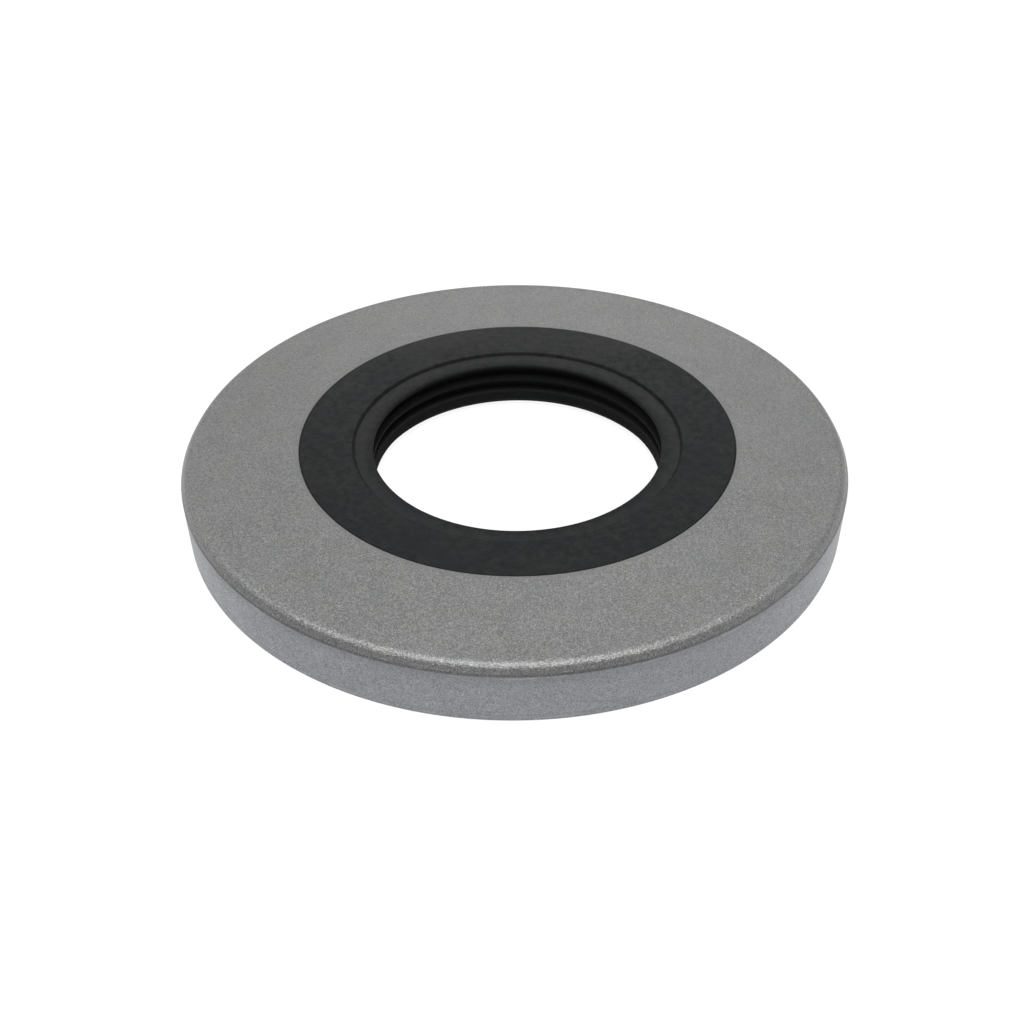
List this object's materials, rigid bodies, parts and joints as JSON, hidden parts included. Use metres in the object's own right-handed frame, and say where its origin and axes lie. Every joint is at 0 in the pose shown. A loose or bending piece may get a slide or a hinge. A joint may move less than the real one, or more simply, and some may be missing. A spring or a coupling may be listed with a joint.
{
  "type": "shaft seal",
  "caption": "Flat round gimbal bearing seal: a pressed steel case with a ground outer wall and a bonded rubber ring whose lips close on a shaft, tightened by a garter spring.",
  "frame": {"origin": "centre of the seal at the plane its case rim rests on", "axes": "+Z along the shaft axis towards the closed flat face; the open side with the spring faces -Z; the seal is round, so X and Y are free"},
  "size_m": [0.0762, 0.0762, 0.007],
  "materials": {
    "case_steel": "matt grey coated pressed steel with a fine speckle, outer wall ground to a fine satin",
    "seal_rubber": "matt black nitrile rubber with a faint mottle, smooth and a little darker on the lips",
    "spring_steel": "bright drawn spring wire"
  },
  "bodies": {
    "root": {"steel_case": "case_steel", "rubber_lips": "seal_rubber", "garter_spring": "spring_steel"}
  },
  "joints": []
}
